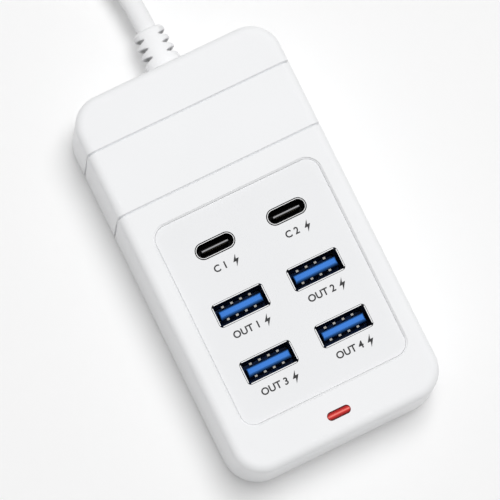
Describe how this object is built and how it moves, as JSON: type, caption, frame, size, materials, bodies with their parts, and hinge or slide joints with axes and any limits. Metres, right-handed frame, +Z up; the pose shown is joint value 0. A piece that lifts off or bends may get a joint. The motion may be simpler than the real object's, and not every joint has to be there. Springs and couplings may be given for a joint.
{
  "type": "USB charging block",
  "caption": "White desktop USB charging block with USB-C and USB-A ports in its top, a red indicator lens and a coiled mains cord with a two-blade plug.",
  "frame": {"origin": "centre of the housing's footprint, on the floor under its feet", "axes": "+Z up out of the ports, +Y along the housing towards the cord, +X across it"},
  "size_m": [0.08, 0.2328, 0.0273],
  "materials": {
    "housing_white": "satin",
    "panel_white": "matte",
    "cord_white": "matte",
    "port_steel": "polished",
    "tongue_blue": "satin",
    "tongue_grey": "matte",
    "contact_gold": "polished",
    "lens_red": "gloss",
    "board_green": "satin",
    "screw_steel": "satin",
    "foot_rubber": "matte",
    "ferrite": "matte",
    "bobbin_black": "matte",
    "winding_yellow": "satin",
    "can_dark": "satin",
    "sink_aluminium": "satin",
    "part_black": "satin",
    "filter_yellow": "satin",
    "fuse_glass": "gloss",
    "lead_brown": "matte",
    "lead_blue": "matte",
    "tie_grey": "matte",
    "blade_brass": "satin"
  },
  "bodies": {
    "root": {"bottom_cover": "housing_white", "bridge_rectifier": "part_black", "bulk_capacitor": "can_dark", "coil_tie": "tie_grey", "cord_coil": "cord_white", "filter_capacitor": "filter_yellow", "foot_1": "foot_rubber", "foot_2": "foot_rubber", "foot_3": "foot_rubber", "foot_4": "foot_rubber", "fuse": "fuse_glass", "heat_sink": "sink_aluminium", "housing_screws": "screw_steel", "indicator_led": "lens_red", "led_lens": "lens_red", "link_header": "part_black", "link_pins": "contact_gold", "live_lead": "lead_brown", "neutral_lead": "lead_blue", "output_board": "board_green", "output_board_screws": "screw_steel", "output_capacitor_1": "can_dark", "output_capacitor_2": "can_dark", "plug_blades": "blade_brass", "plug_body": "cord_white", "port_panel": "panel_white", "power_board": "board_green", "power_board_screws": "screw_steel", "power_cord": "cord_white", "power_switch": "part_black", "strain_relief": "cord_white", "top_cover": "housing_white", "transformer_bobbin": "bobbin_black", "transformer_core": "ferrite", "transformer_winding": "winding_yellow", "usb_a_contacts_1": "contact_gold", "usb_a_contacts_2": "contact_gold", "usb_a_contacts_3": "contact_gold", "usb_a_contacts_4": "contact_gold", "usb_a_insert_1": "tongue_blue", "usb_a_insert_2": "tongue_blue", "usb_a_insert_3": "tongue_blue", "usb_a_insert_4": "tongue_blue", "usb_a_shell_1": "port_steel", "usb_a_shell_2": "port_steel", "usb_a_shell_3": "port_steel", "usb_a_shell_4": "port_steel", "usb_c_contacts_1": "contact_gold", "usb_c_contacts_2": "contact_gold", "usb_c_insert_1": "tongue_grey", "usb_c_insert_2": "tongue_grey", "usb_c_shell_1": "port_steel", "usb_c_shell_2": "port_steel"}
  },
  "joints": []
}
